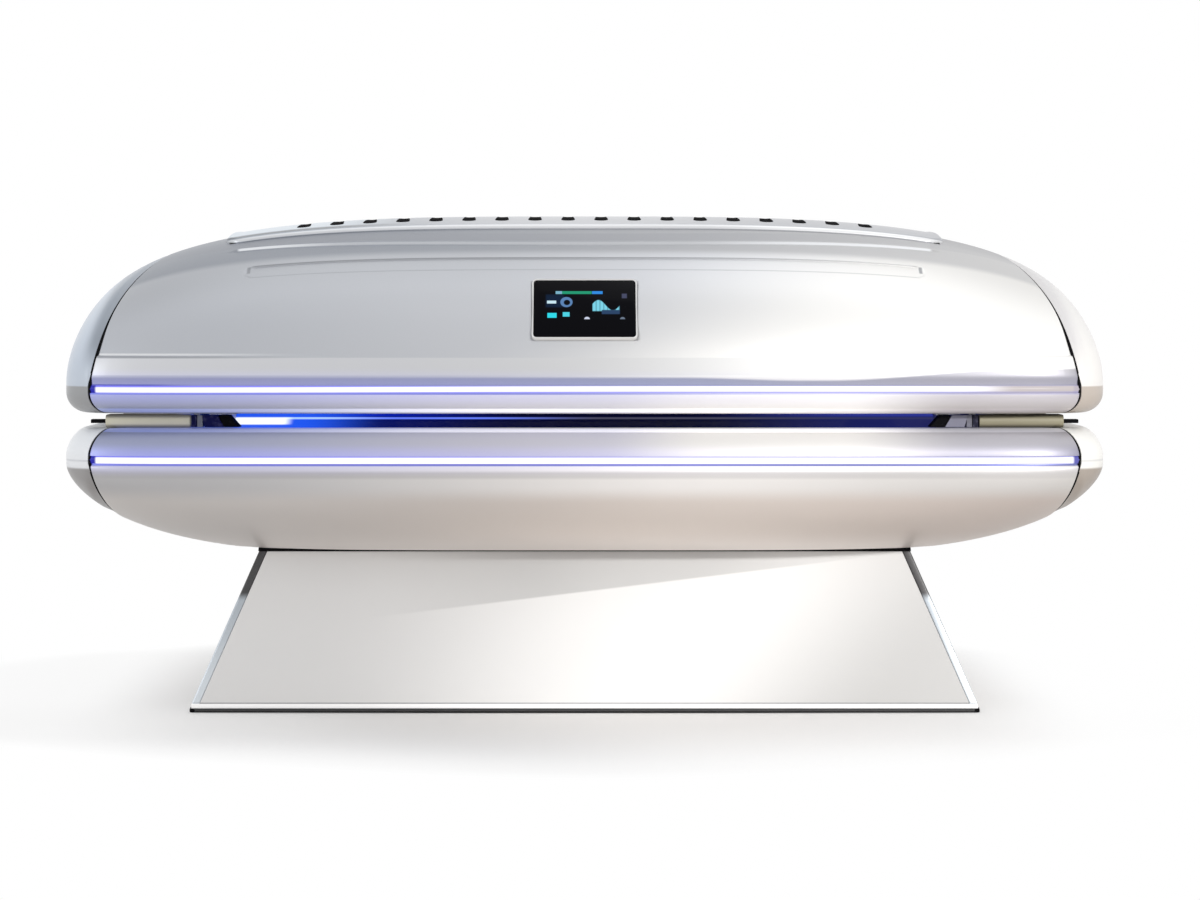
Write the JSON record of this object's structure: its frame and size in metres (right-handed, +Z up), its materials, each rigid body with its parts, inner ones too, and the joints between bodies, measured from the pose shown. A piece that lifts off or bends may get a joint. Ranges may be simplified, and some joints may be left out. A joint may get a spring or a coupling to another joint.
{
  "type": "led light therapy bed",
  "caption": "Clam-shell light therapy bed: domed canopy on a rear hinge with gas struts over a curved bench, lit strips, touch display, flared pedestal.",
  "frame": {"origin": "on the floor, under the middle of the bed", "axes": "+X along the bed to the right as seen from the front, +Y towards the hinge side, +Z up"},
  "size_m": [2.198, 1.157, 1.0786],
  "materials": {
    "shell_silver": "pearl silver lacquer",
    "lip_silver": "pearl silver lacquer",
    "deck_silver": "pearl silver lacquer",
    "cap_white": "glossy white",
    "strip_light": "lit diffuser",
    "panel_white": "satin light grey paint",
    "post_silver": "satin extrusion",
    "trim_white": "glossy white",
    "base_black": "dark powder coat",
    "frame_steel": "grey powder coat",
    "supply_grey": "vented casing",
    "cabinet_grey": "light grey casing",
    "inlet_black": "moulded black",
    "rocker_black": "moulded black",
    "screw_steel": "zinc plated",
    "foot_dark": "moulded rubber on a steel stud",
    "tray_alu": "mill finish",
    "board_white": "white solder mask",
    "acrylic_clear": "clear acrylic lit blue",
    "deck_beige": "beige moulding",
    "rubber_black": "moulded rubber",
    "hinge_steel": "zinc plated",
    "fan_tray_dark": "dark sheet",
    "fan_black": "moulded black",
    "bezel_white": "glossy white",
    "display_black": "black cover glass",
    "controller_green": "boxed circuit board",
    "strut_black": "black cylinder",
    "rod_chrome": "polished rod"
  },
  "bodies": {
    "base": {"base_plate": "base_black", "skirt_trim": "trim_white", "front_panel": "panel_white", "rear_panel": "panel_white", "side_panel_left": "panel_white", "side_panel_right": "panel_white", "corner_posts": "post_silver", "pedestal_frame": "frame_steel", "power_supplies": "supply_grey", "control_cabinet": "cabinet_grey", "power_entry": "inlet_black", "panel_screws": "screw_steel", "bench_hull": "shell_silver", "bench_cap_left": "cap_white", "bench_cap_right": "cap_white", "bench_lip_front": "lip_silver", "bench_lip_rear": "lip_silver", "bench_light_strip": "strip_light", "bench_frame": "frame_steel", "bench_led_tray": "tray_alu", "bench_led_boards": "board_white", "bench_acrylic": "acrylic_clear", "bench_end_deck_left": "deck_beige", "bench_end_deck_right": "deck_beige", "rest_bumpers": "rubber_black", "rear_gap_seal": "rubber_black", "hinge_lower_leaves": "hinge_steel", "hinge_pins": "hinge_steel"},
    "canopy": {"canopy_shell": "shell_silver", "canopy_cap_left": "cap_white", "canopy_cap_right": "cap_white", "canopy_lip_front": "lip_silver", "canopy_lip_rear": "lip_silver", "canopy_light_strip": "strip_light", "top_deck": "deck_silver", "canopy_frame": "frame_steel", "canopy_led_tray": "tray_alu", "canopy_led_boards": "board_white", "canopy_acrylic": "acrylic_clear", "canopy_end_panel_left": "deck_beige", "canopy_end_panel_right": "deck_beige", "hinge_upper_leaves": "hinge_steel", "fan_tray": "fan_tray_dark", "fan_housings": "fan_black", "display_bezel": "bezel_white", "display_glass": "display_black", "display_controller": "controller_green"},
    "power_rocker": {"power_rocker": "rocker_black"},
    "foot_front_left": {"foot_front_left": "foot_dark"},
    "foot_front_right": {"foot_front_right": "foot_dark"},
    "foot_rear_left": {"foot_rear_left": "foot_dark"},
    "foot_rear_right": {"foot_rear_right": "foot_dark"},
    "fan_rotor_1": {"fan_rotor_1": "fan_black"},
    "fan_rotor_2": {"fan_rotor_2": "fan_black"},
    "fan_rotor_3": {"fan_rotor_3": "fan_black"},
    "fan_rotor_4": {"fan_rotor_4": "fan_black"},
    "strut_tube_left": {"strut_tube_left": "strut_black"},
    "strut_tube_right": {"strut_tube_right": "strut_black"},
    "strut_rod_left": {"strut_rod_left": "rod_chrome"},
    "strut_rod_right": {"strut_rod_right": "rod_chrome"}
  },
  "joints": [
    {"name": "canopy_hinge", "type": "hinge", "parent": "base", "child": "canopy", "pos_m": [0, 0.556, 0.6335], "axis": [-1, 0, 0], "range_deg": [0, 45], "stiffness_Nm_per_rad": 178, "springref_deg": 161},
    {"name": "strut_swing_left", "type": "hinge", "parent": "base", "child": "strut_tube_left", "pos_m": [-0.885, 0.33, 0.455], "axis": [-1, 0, 0], "range_deg": [0, 38.54]},
    {"name": "strut_slide_left", "type": "slide", "parent": "strut_tube_left", "child": "strut_rod_left", "axis": [0, -0.6844, 0.7291], "range_m": [0, 0.2151]},
    {"name": "strut_swing_right", "type": "hinge", "parent": "base", "child": "strut_tube_right", "pos_m": [0.885, 0.33, 0.455], "axis": [-1, 0, 0], "range_deg": [0, 38.54]},
    {"name": "strut_slide_right", "type": "slide", "parent": "strut_tube_right", "child": "strut_rod_right", "axis": [0, -0.6844, 0.7291], "range_m": [0, 0.2151]},
    {"name": "fan_spin_1", "type": "hinge", "parent": "canopy", "child": "fan_rotor_1", "pos_m": [-0.56, 0, 1.005], "axis": [0, 0, 1], "continuous": true},
    {"name": "fan_spin_2", "type": "hinge", "parent": "canopy", "child": "fan_rotor_2", "pos_m": [-0.205, 0, 1.005], "axis": [0, 0, 1], "continuous": true},
    {"name": "fan_spin_3", "type": "hinge", "parent": "canopy", "child": "fan_rotor_3", "pos_m": [0.205, 0, 1.005], "axis": [0, 0, 1], "continuous": true},
    {"name": "fan_spin_4", "type": "hinge", "parent": "canopy", "child": "fan_rotor_4", "pos_m": [0.56, 0, 1.005], "axis": [0, 0, 1], "continuous": true},
    {"name": "level_front_left", "type": "slide", "parent": "base", "child": "foot_front_left", "axis": [0, 0, -1], "range_m": [0, 0.015]},
    {"name": "level_front_right", "type": "slide", "parent": "base", "child": "foot_front_right", "axis": [0, 0, -1], "range_m": [0, 0.015]},
    {"name": "level_rear_left", "type": "slide", "parent": "base", "child": "foot_rear_left", "axis": [0, 0, -1], "range_m": [0, 0.015]},
    {"name": "level_rear_right", "type": "slide", "parent": "base", "child": "foot_rear_right", "axis": [0, 0, -1], "range_m": [0, 0.015]},
    {"name": "power_switch", "type": "hinge", "parent": "base", "child": "power_rocker", "pos_m": [-0.48, 0.33233, 0.10947], "axis": [1, 0, 0], "range_deg": [0, 16]}
  ],
  "couplings": [
    {"joint": "strut_swing_left", "follows": "canopy_hinge", "ratio": 0.84529},
    {"joint": "strut_slide_left", "follows": "canopy_hinge", "m_per_rad": 0.27266},
    {"joint": "strut_swing_right", "follows": "canopy_hinge", "ratio": 0.84529},
    {"joint": "strut_slide_right", "follows": "canopy_hinge", "m_per_rad": 0.27266}
  ]
}
